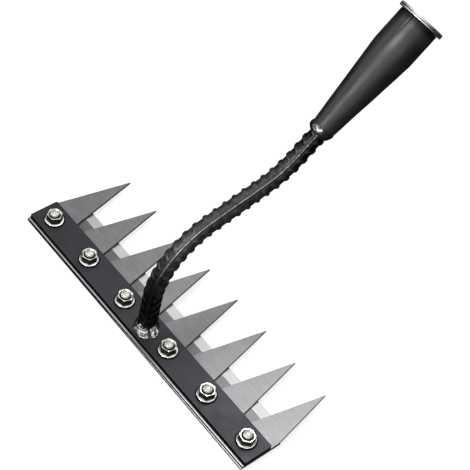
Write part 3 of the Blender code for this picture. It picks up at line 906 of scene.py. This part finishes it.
def nutMesh(values):
    bore, height, rim, rounding = (values[key] for key in ("boreRadius", "nutHeight", "flangeRim", "flangeRound"))
    flat, mouth = values["acrossFlats"] / 2 - values["topInset"], bore + values["boreChamfer"]
    flange = values["acrossFlats"] / math.sqrt(3) + values["flangeMargin"]
    rise, fall = (math.tan(math.radians(values[key])) for key in ("flangeSlope", "chamfer"))

    def slope(r):
        return rim + (flange - r) * rise

    def top(r):
        return height - max(0.0, r - flat) * fall

    foot = [(bore, 0), (flange - rounding, 0)] + arc((flange - rounding, rounding), rounding, -60, 0, 3)
    foot += arc((flange - rounding, rim - rounding), rounding, 0, 66, 3)
    foot.append((flange - 0.0004, slope(flange - 0.0004)))
    land = min(flat, values["acrossFlats"] / 2) - 0.0003
    inside = [(land, top(land)), (mouth + 0.0001, height), (mouth, height - 0.00004)]
    inside.append((bore, height - values["boreChamfer"]))
    angles = roundAngles(values["sides"])
    rings = [circle(r, z, angles) for r, z in foot] + hexWall(values, slope, top, values["fillet"])
    rings += [circle(r, z, angles) for r, z in inside]

    def shadeTone(place):
        # painted shade: in the bore's mouth and, but for the chamfer, on the facets
        r, z = place.xy.length, place.z
        if r < mouth + 0.0003:
            return (mouth - 0.00005 - r) / 0.0002 if z > rim else 0.0
        onFacets = (z - slope(r) + 0.00015) / 0.0002 if r < values["shadeToneWithin"] else 0.0
        return 0.95 * min(1.0, max(0.0, onFacets), max(0.0, (top(r) - 0.0002 - z) / 0.0001))

    return mark(shadeMesh(skinRings("nut", rings, closed=True), 32), "recess", shadeTone)


def boltMesh(values):
    # origin on the bar's top, under the nut
    shank, pitch, out = values["boltRadius"], values["threadPitch"], values["stickOut"]
    tip = values["gap"] + values["nutHeight"] + out
    seat = -barSize.z - 2 * toothPlate["gap"] - toothPlate["thickness"] - hoeBlade["thickness"] - values["gap"]
    bottom, end = seat - values["headHeight"], shank - values["tipRound"]
    flat, fall = values["acrossFlats"] / 2 - 0.0003, math.tan(math.radians(values["chamfer"]))
    angles = roundAngles(values["sides"])

    def head(r):
        return bottom + max(0.0, r - flat) * fall

    rings = [circle(flat - inset, bottom, angles) for inset in (0.0008, 0.0002, 0.0)]
    rings += hexWall(values, head, lambda r: seat, values["edge"][::-1])
    rings += [circle(shank + 0.0003, seat, angles), circle(shank, seat + 0.0003, angles)]
    start = tip - out - values["threadTurns"] * pitch
    steps = round((tip - start) / (pitch / values["stepsPerTurn"]))
    for i in range(steps + 1):
        z = start + (tip - start) * i / steps
        inTip = limited((z - tip) / values["tipHeight"] + 1)
        limit = shank - values["tipRound"] * (1 - math.sqrt(1 - inTip * inTip))
        ring = []
        for a in angles:
            ridge = min(1.0, 2.6 * abs((z / pitch - a / (2 * math.pi)) % 1.0 - 0.5))
            r = shank - values["threadDepth"] * (1 - ridge) * min(1.0, (z - start) / pitch)
            ring.append(polar(min(r, limit), a, z))
        rings.append(ring)
    rings += [circle(end * share, tip + lift, angles) for share, lift in values["endProfile"]]
    mesh = shadeMesh(skinRings("bolt", rings), 32)
    mark(mesh, "matte", lambda place: (place.z - tip + out) / 0.0003)

    def shadeTone(place):
        # painted shade: in the threads, and in the groove of the end
        r, z = place.xy.length, place.z
        inGroove = 0.75 if z > tip - 0.0002 and end * 0.72 < r < end * 0.92 else 0.0
        return max(inGroove, (tip - out - z) / 0.0003 if z > start - 0.0002 else 0.0)

    return mark(mesh, "recess", shadeTone)


def fastenerRowTree():
    inputs = {"Places": "Geometry", "Fastener": "Object", "Metal": "Material"}
    tree, ins, outs = openGeometryTree("fastenerRow", inputs)
    one = addNode(tree, "GeometryNodeObjectInfo", {"Object": ins["Fastener"]}).outputs["Geometry"]
    turn = geometryNode(tree, "InputNamedAttribute", {"Name": "turn"}, data_type="FLOAT")
    row = geometryNode(tree, "InstanceOnPoints",
                       {"Points": ins["Places"], "Instance": one, "Rotation": combine(0, 0, turn)})
    return closeGeometryTree(tree, row, ins["Metal"], outs)


def fastenerRow(name, mesh, side, lift):
    places = meshFrom("places", [barTop + Vector((x, 0, lift)) for x in nutPlaces()])
    turns = places.attributes.new("turn", "FLOAT", "POINT")
    for item, turn in zip(turns.data, fastener["turns"]):
        item.value = side * math.radians(turn) + math.pi / 6
    one = addObject(name + "One", mesh)
    made = runGeometryNodes(name, places, rowTree, {"Fastener": one, "Metal": zinc})
    bpy.data.objects.remove(one)
    return made


rowTree, zinc = fastenerRowTree(), zincMaterial(zincPlate)
numbers = range(1, len(fastener["turns"]) + 1)
allNuts = fastenerRow("flangeNuts", nutMesh(fastener), 1, fastener["gap"])
addPiece("flangeNuts", allNuts, zinc, "zinc", *[f"flange_nut_{i}" for i in numbers])
allBolts = fastenerRow("hexBolts", boltMesh(fastener), -1, 0.0)
addPiece("hexBolts", allBolts, zinc, "zinc", *[f"hex_bolt_{i}" for i in numbers])
print("nuts and bolts made:", len(numbers), "of each")


# neck: the ribbed bar, its ribs raised by Geometry Nodes along its bent path

neck = {
    "offset": 0.001,
    "rise": 0.0414,
    "lowerRadius": 0.0691,
    "lowerBend": 76.0,
    "run": 0.0572,
    "upperRadius": 0.0785,
    "upperBend": 30.0,
    "tail": 0.0316,
    "insertion": 0.016,
    "gap": 0.0003,
    "ribSpan": 152.0,
    "longAngle": 62.0,
    # where shade is painted: heights over the bar, and distances short of the socket
    "darkFoot": (0.03, 0.09),
    "darkEnd": (0.012, 0.060),
    # inputs of the tree
    "skin": {
        "rows": 800,
        "around": 112,
        "radius": 0.00765,
        "ribHeight": 0.0013,
        "ribPitch": 0.01053,
        "ribStart": 0.0055,
        "ribClimb": 0.0106,
        "ribCrest": 0.0016,
        "ribFoot": 0.0056,
        "longHeight": 0.0010,
        "longCrest": 0.0006,
        "longFoot": 0.0021,
        "wobble": 0.0004,
        "wobbleScale": 260.0,
    },
}
neckRadius = neck["skin"]["radius"]
neckLook = dict(blackPaint, dusty=(0.022, 0.022, 0.0225, 1), tint=(1, 1, 1, 1), paintedShadeRoughness=0.32, paintedShadeDulling=0.8,
                wear=0.78, wearScale=500.0, softness=0.6, glossScale=220.0, peelScale=800.0, peelHeight=0.00012)


def neckStretches(values):
    # length and curvature of each part of the path
    lower, upper = math.radians(values["lowerBend"]), math.radians(values["upperBend"])
    return [(values["rise"], 0.0), (values["lowerRadius"] * lower, -1 / values["lowerRadius"]),
            (values["run"], 0.0), (values["upperRadius"] * upper, 1 / values["upperRadius"]),
            (values["tail"] + values["insertion"], 0.0)]


def neckPoint(values, distance):
    # point and direction of the centre line, in the bar's middle plane
    y, z, heading = values["offset"], values["gap"], math.pi / 2
    for length, bend in neckStretches(values):
        step = min(length, distance)
        after = heading + bend * step
        if bend:
            y += (math.sin(after) - math.sin(heading)) / bend
            z -= (math.cos(after) - math.cos(heading)) / bend
        else:
            y += step * math.cos(heading)
            z += step * math.sin(heading)
        heading = after
        distance -= step
        if distance <= 0:
            break
    return barTop + Vector((0, y, z)), Vector((0, math.cos(heading), math.sin(heading)))


neckLength = sum(length for length, bend in neckStretches(neck))


def neckPath(values, steps=600):
    curve = bpy.data.curves.new("neckPath", "CURVE")
    curve.dimensions = "3D"
    spline = curve.splines.new("POLY")
    spline.points.add(steps)
    for i, point in enumerate(spline.points):
        point.co = (*neckPoint(values, neckLength * i / steps)[0], 1)
    return addObject("neckPath", curve)


def ribbedBarTree(sizes):
    inputs = {"Geometry": "Geometry", "Path": "Object", "Paint": "Material", **sizes}
    tree, ins, outs = openGeometryTree("ribbedBar", inputs)
    grid = geometryNode(tree, "MeshGrid", {"Size X": ins["length"], "Size Y": 1.0, "Vertices X": ins["rows"],
                                           "Vertices Y": plus(ins["around"], 1)})
    position = geometryNode(tree, "InputPosition", {})
    x, y, z = split(position)
    along = plus(x, times(ins["length"], 0.5))
    angle = times(plus(y, 0.5), 2 * math.pi)
    fromLong = calc("ARCCOSINE", calc("COSINE", angle))

    # cross ribs: they climb from one long rib to the other and are highest half way
    climb = times(ins["ribClimb"], minus(over(fromLong, math.pi), 0.5))
    stagger = times(calc("GREATER_THAN", angle, math.pi), times(ins["ribPitch"], 0.5))
    fromFirst = minus(minus(minus(along, climb), stagger), ins["ribStart"])
    nearest = times(calc("ROUND", over(fromFirst, ins["ribPitch"])), ins["ribPitch"])
    off = unsigned(minus(fromFirst, nearest))
    ridge = remap(off, times(ins["ribFoot"], 0.5), times(ins["ribCrest"], 0.5))
    aside = over(minus(fromLong, math.pi / 2), ins["ribHalfSpan"])
    cross = times(ridge, highest(minus(1.0, times(aside, aside)), 0.0))

    # the two long ribs
    across = times(calc("MINIMUM", fromLong, minus(math.pi, fromLong)), ins["radius"])
    lengthwise = remap(across, times(ins["longFoot"], 0.5), times(ins["longCrest"], 0.5))

    path = addNode(tree, "GeometryNodeObjectInfo", {"Object": ins["Path"]}).outputs["Geometry"]
    sample = addNode(tree, "GeometryNodeSampleCurve", {"Length": along}, mode="LENGTH")
    plug(path, sample.inputs["Curves"])
    upward = vectorCalc("NORMALIZE", vectorCalc("CROSS_PRODUCT", (1, 0, 0), sample.outputs["Tangent"]))
    turn = plus(angle, ins["longTurn"])
    raised = highest(times(cross, ins["ribHeight"]), times(lengthwise, ins["longHeight"]))
    radius = plus(ins["radius"], raised)
    sideways = combine(times(radius, calc("COSINE", turn)))
    outward = vectorCalc("ADD", sideways, scaled(upward, times(radius, calc("SINE", turn))))

    crest = highest(times(cross, 0.55), lengthwise)
    marked = geometryNode(tree, "StoreNamedAttribute", {"Geometry": grid, "Name": "crest", "Value": crest},
                          data_type="FLOAT", domain="POINT")
    skin = geometryNode(tree, "SetPosition", {"Geometry": marked,
                                              "Position": vectorCalc("ADD", sample.outputs["Position"], outward)})
    merged = geometryNode(tree, "MergeByDistance", {0: skin, "Distance": 2e-6})
    wobble = times(minus(speckle(position, ins["wobbleScale"], 3.0), 0.5), ins["wobble"])
    uneven = scaled(geometryNode(tree, "InputNormal", {}), wobble)
    rough = geometryNode(tree, "SetPosition", {"Geometry": merged, "Offset": uneven})
    return closeGeometryTree(tree, rough, ins["Paint"], outs)


def neckMesh(values, paint):
    path = neckPath(values)
    sizes = dict(values["skin"], length=neckLength, ribHalfSpan=math.radians(values["ribSpan"] / 2),
                 longTurn=math.radians(values["longAngle"]))
    settings = dict(sizes, Path=path, Paint=paint)
    mesh = runGeometryNodes("neckRod", bpy.data.meshes.new("start"), ribbedBarTree(sizes), settings)
    bpy.data.objects.remove(path)
    cleanMesh(mesh, 2e-6).shade_smooth()
    return mesh


socketFoot, socketAxis = neckPoint(neck, neckLength - neck["insertion"])


def neckShade(where):
    # painted shade: darkest at the foot and, between the ribs, darker towards the socket
    x, y, z = split(where)
    (low, high), (near, far) = neck["darkFoot"], neck["darkEnd"]
    foot = remap(z, barTop.z + high, barTop.z + low)
    between = minus(1.0, times(attribute(where, "crest"), 0.8))
    above = remap(y, socketFoot.y - far, socketFoot.y - near, 0.0, 0.85)
    return highest(foot, times(above, between))


# the rib crests are rubbed bare: wear, and on the long rib also a painted highlight line
neckPaint = paintMaterial("neckPaint", neckLook, partial(attribute, name="crest"), neckShade)
addPiece("neckRod", neckMesh(neck, neckPaint), neckPaint, "black_paint", "neck_rod")
print("neck made:", round(1000 * neckLength), "mm of ribbed bar")


# handle socket and the ring round its mouth, both on the neck's end

socket = {
    "length": 0.1205,
    "coneLength": 0.0861,
    "mouthRadius": 0.01955,
    "narrowRadius": 0.01105,
    "wall": 0.002,
    "shoulderRadius": 0.03,
    "dents": 0.00012,
    "seamAngle": -88.0,
    "seamWidth": 0.0013,
    "seamDepth": 0.00035,
    "seamFadeStart": 0.098,
    "seamFadeEnd": 0.114,
    "screwHole": 0.0025,
    "screwHoleSetback": 0.024,
    "sides": 144,
    "rows": 120,
}
ring = {
    "proud": 0.00345,
    "thickness": 0.0043,
    "lowRadius": 0.0007,
    "highRadius": 0.0013,
    "innerRadius": 0.0004,
    "gap": 0.0003,
    "grooveAt": 0.0022,
    "grooveWidth": 0.0009,
    "grooveDepth": 0.0003,
    # the rubbed wall: from and to which height, how far in, and the side that is rubbed less
    "rubbed": (0.0009, 0.0042),
    "rubbedDepth": 0.0012,
    "lessRubbedSide": (0.91, 0.415),
    "lessRubbed": 0.62,
}
socketLook = dict(blackPaint, roughness=0.42, tint=(1, 1, 1, 1), paintedShadeRoughness=0.5)
ringLook = dict(socketLook, bare=(0.62, 0.62, 0.61, 1), bareRoughness=0.45, wear=0.95, wearScale=350.0)

tilt = math.atan2(socketAxis.z, socketAxis.y) - math.pi / 2
socketPlace = Matrix.Translation(socketFoot) @ Matrix.Rotation(tilt, 4, "X")


def coneRadius(narrow, wide, height):
    # a cone that turns into a cylinder over an arc
    lean = math.atan2(wide - narrow, socket["coneLength"])
    tangent = socket["shoulderRadius"] * math.tan(lean / 2)
    start, end = socket["coneLength"] - tangent * math.cos(lean), socket["coneLength"] + tangent
    if height <= start:
        return narrow + height * math.tan(lean)
    if height >= end:
        return wide
    return wide - socket["shoulderRadius"] + math.sqrt(socket["shoulderRadius"] ** 2 - (end - height) ** 2)


def socketMesh(values):
    length, rows = values["length"], values["rows"]
    fadeStart, fade = values["seamFadeStart"], values["seamFadeEnd"] - values["seamFadeStart"]
    middle = math.radians(values["seamAngle"])
    angles = roundAngles(values["sides"], middle)
    rings = []
    for i in range(rows + 1):
        z, one = length * i / rows, []
        depth = values["seamDepth"] * limited((z - fadeStart) / fade)
        for a in angles:
            radius = coneRadius(values["narrowRadius"], values["mouthRadius"], z)
            offSeam = abs(math.remainder(a - middle, 2 * math.pi)) * radius
            radius -= depth * max(0.0, 1 - offSeam / (values["seamWidth"] / 2))
            one.append(polar(radius + values["dents"] * bumpAt(*polar(2.2, a, z * 55)), a, z))
        rings.append(one)
    for i in range(rows // 3 + 1):
        z = length * (1 - i / (rows // 3))
        bore = coneRadius(neckRadius + neck["gap"], values["mouthRadius"] - values["wall"], z)
        rings.append(circle(bore, z, angles))
    return skinRings("handleSocket", rings, closed=True)


def drillScrewHole(mesh, values):
    # a round hole through the wall on the side that faces down
    ends = [(values["screwHole"], z) for z in (0.0, 2 * values["mouthRadius"])]
    drill = turned("drill", ends, 40, closed=False)
    height = values["length"] - values["screwHoleSetback"]
    placed(drill, Matrix.Translation((0, 0, height)) @ Matrix.Rotation(-math.pi / 2, 4, "X"))
    target, cutter = addObject("socketSource", mesh), addObject("drill", drill)
    cut = target.modifiers.new("hole", "BOOLEAN")
    cut.operation, cut.object = "DIFFERENCE", cutter
    made = evaluated(target)
    for source in (target, cutter):
        bpy.data.objects.remove(source)
    return made


def ringMesh(values):
    inner, outer = socket["mouthRadius"] - socket["wall"], socket["mouthRadius"] + values["proud"]
    lowEdge, highEdge, innerEdge, step = values["lowRadius"], values["highRadius"], values["innerRadius"], 0.0003
    low = socket["length"] + values["gap"]
    high, mid = low + values["thickness"], low + values["grooveAt"]
    half, floor = values["grooveWidth"] / 2, outer - values["grooveDepth"]
    profile = [(inner + step, low), (outer - lowEdge - step, low)]
    profile += arc((outer - lowEdge, low + lowEdge), lowEdge, -90, 0, 6)
    profile += [(outer, mid - half), (floor, mid - half * 0.4), (floor, mid + half * 0.4), (outer, mid + half)]
    profile += arc((outer - highEdge, high - highEdge), highEdge, 0, 90, 8) + [(outer - highEdge - step, high)]
    profile += arc((inner + innerEdge, high - innerEdge), innerEdge, 90, 180, 4) + [(inner, low + step)]
    return turned("socketRing", profile, 160)


def inSocketFrame(where):
    # object coordinates turned so that Z runs along the socket
    inputs = {"Vector": where, "Location": socketFoot, "Rotation": (tilt, 0, 0)}
    return split(firstOut(where.id_data, "ShaderNodeMapping", inputs, vector_type="TEXTURE"))


# painted shadow on the socket under the ring, darkest next to it
def underRing(where):
    return remap(inSocketFrame(where)["Z"], socket["length"] - 0.008, socket["length"], 0.0, 0.7)


def ringRub(where):
    # the ring's side wall is rubbed bare but for its groove, and less so round one side
    x, y, z = inSocketFrame(where)
    height = minus(z, socket["length"] + ring["gap"])
    radius = calc("SQRT", plus(times(x, x), times(y, y)))
    outer, half = socket["mouthRadius"] + ring["proud"], ring["grooveWidth"] / 2
    (low, high), (sideX, sideY) = ring["rubbed"], ring["lessRubbedSide"]
    onWall = remap(radius, outer - ring["rubbedDepth"], outer - 0.0008)
    offGroove = remap(unsigned(minus(height, ring["grooveAt"])), half * 0.9, half * 1.2)
    inside = times(remap(height, low, low + 0.0001), remap(height, high, high - 0.0002))
    facing = over(plus(times(x, sideX), times(y, sideY)), radius)
    worn = remap(facing, 0.25, 0.65, 1.0, ring["lessRubbed"])
    return times(times(onWall, offGroove), times(inside, worn))


socketPaint = paintMaterial("socketPaint", socketLook, paintedShade=underRing)
ringPaint = paintMaterial("ringPaint", ringLook, ringRub)
socketBody = placed(shadeMesh(drillScrewHole(socketMesh(socket), socket)), socketPlace)
addPiece("handleSocket", socketBody, socketPaint, "black_paint", "handle_socket")
addPiece("socketRing", placed(shadeMesh(ringMesh(ring)), socketPlace), ringPaint, "black_paint", "socket_ring")
print("handle socket and ring made")


# welds: drops of metal laid over each other, bare where the paint missed them

neckWeld = {
    "height": 0.0046,
    "rows": 44,
    "sides": 240,
    # how far the bead reaches from the neck's middle, by angle in degrees
    "outline": [(-180, 0.0109), (-150, 0.0112), (-120, 0.0121), (-102, 0.0137), (-89, 0.0146), (-74, 0.0149),
                (-57, 0.0158), (-43, 0.0162), (-31, 0.0155), (-20, 0.0154), (-11, 0.0161), (3, 0.0152),
                (17, 0.0142), (29, 0.0126), (50, 0.0112), (120, 0.0108), (180, 0.0109)],
    "cleft": -26.0,
    "cleftWidth": 6.0,
    "cleftDepth": 0.62,
    # the ripples of each lobe: their middle, where the first crest is, their spacing
    "ripples": [((0.0, 0.0), 0.0096, 0.0038), ((0.0118, -0.0012), 0.0, 0.0046)],
    "rippleHeight": 0.0005,
    # heights of the coarse and the fine lumps
    "lumps": (0.0005, 0.0002),
    "bareFrom": -112.0,
    "bareTo": 34.0,
    "spatter": (0.0003, -0.0085, 0.0062),
    "spatterRadius": 0.0015,
}
socketWeld = {
    "length": 0.0076,
    "lap": 0.0008,
    "crest": 0.0008,
    "rows": 34,
    "sides": 180,
    "lumps": (0.0011, 0.0004),
    # the bare patch: its middle and half size, in degrees round and as a share of the length
    "bareAt": (-80, 0.6),
    "bareSize": (40, 0.5),
}
weldBore = neckRadius - 0.0002


def outlineReach(outline, angle):
    for (a, low), (b, high) in zip(outline, outline[1:]):
        if a <= angle <= b:
            share = (angle - a) / (b - a)
            return low + (high - low) * share * share * (3 - 2 * share)
    return outline[0][1]


def neckWeldMesh(values):
    # two runs of metal laid side by side over a plain fillet, with a cleft between them
    rows, angles, (coarse, fine) = values["rows"], roundAngles(values["sides"]), values["lumps"]
    rings, bareness = [[] for _ in range(rows + 1)], {}
    for k, a in enumerate(angles):
        degrees = math.degrees(math.remainder(a, 2 * math.pi))
        reach = outlineReach(values["outline"], degrees) + 0.00025 * bumpAt(*polar(7, a, 0.4))
        cleft = math.exp(-((degrees - values["cleft"]) / values["cleftWidth"]) ** 2)
        inLobes = limited(min(degrees - values["bareFrom"], values["bareTo"] - degrees) / 9)
        middle, first, spacing = values["ripples"][0 if degrees < values["cleft"] else 1]
        for i in range(rows + 1):
            share = i / rows
            x, y, z = polar(weldBore + (reach - weldBore) * share, a, 0.0)
            if i < rows:
                dome = values["height"] * ((1 - share) * 0.55 + 0.45 * math.sqrt(1 - share * share))
                fromFirst = math.hypot(x - middle[0], y - middle[1]) - first
                swell = values["rippleHeight"] * math.cos(2 * math.pi * fromFirst / spacing)
                rough = coarse * bumpAt(x * 330, y * 330, 0.3) + fine * bumpAt(x * 900, y * 900, 1.7)
                fade = min(1.0, 4 * (1 - share), 0.3 + 5 * share)
                z = max(dome * (1 - values["cleftDepth"] * cleft) + fade * (swell * inLobes + rough), 0.00003)
            rings[i].append((x, y, z))
            bareness[i * len(angles) + k] = inLobes * (1 - 0.9 * cleft) * min(1.0, 8 * (1.02 - share))
    mesh = wrapRings("neckWeld", rings + [circle(weldBore, 0.0, angles)], closed=True)
    marks = mesh.attributes.new("bare", "FLOAT", "POINT")
    for index, bare in bareness.items():
        marks.data[index].value = bare
    with editing(mesh) as bm:
        layer, place = bm.verts.layers.float["bare"], Matrix.Translation(values["spatter"])
        drop = bmesh.ops.create_icosphere(bm, subdivisions=3, radius=values["spatterRadius"], matrix=place)
        for vertex in drop["verts"]:
            vertex[layer] = 2.0
    return placed(shadeMesh(mesh, 60), barTop + Vector((0, neck["offset"], 0)))


def socketWeldMesh(values):
    # a round bead that laps over the socket's narrow end
    length, lap, crest, rows = values["length"], values["lap"], values["crest"], values["rows"]
    narrow, angles, rings = socket["narrowRadius"], roundAngles(values["sides"]), []
    coarse, fine = values["lumps"]
    for i in range(rows + 1):
        z, one = -length + (length + lap) * i / rows, []
        soft = min(1.0, 3 * i / rows, 4 * (1 - i / rows))
        if z < 0:
            least, rise = weldBore, math.sin(math.pi / 2 * (z + length) / length) ** 0.6
            plain = weldBore + (narrow + crest - weldBore) * rise
        else:
            cone = coneRadius(narrow, socket["mouthRadius"], z)
            least, plain = cone + 0.00005, cone + crest * math.sqrt(max(0.0, 1 - (z / lap) ** 2))
        for a in angles:
            lump = coarse * bumpAt(*polar(1.9, a, z * 150)) + fine * bumpAt(*polar(5, a, z * 600))
            one.append(polar(max(plain + lump * soft, least), a, z))
        rings.append(one)
    lapRadius = coneRadius(narrow, socket["mouthRadius"], lap)
    under = ((lapRadius + 0.00002, lap), (narrow + 0.00002, 0.0), (weldBore, -0.0001))
    rings += [circle(r, z, angles) for r, z in under]
    (aroundAt, alongAt), (aroundSize, alongSize) = values["bareAt"], values["bareSize"]

    def bareness(place):
        around = math.remainder(math.degrees(math.atan2(place.y, place.x)) - aroundAt, 360) / aroundSize
        along = ((place.z + length) / length - alongAt) / alongSize
        return 2.4 * (1 - math.hypot(around, along))

    mesh = mark(skinRings("socketWeld", rings, closed=True), "bare", bareness, 1.8)
    return placed(shadeMesh(mesh, 60), socketPlace)


weld = weldMaterial(weldMetal)
addPiece("neckWeld", neckWeldMesh(neckWeld), weld, "weld_metal", "neck_weld")
addPiece("socketWeld", socketWeldMesh(socketWeld), weld, "weld_metal", "socket_weld")
print("welds made")
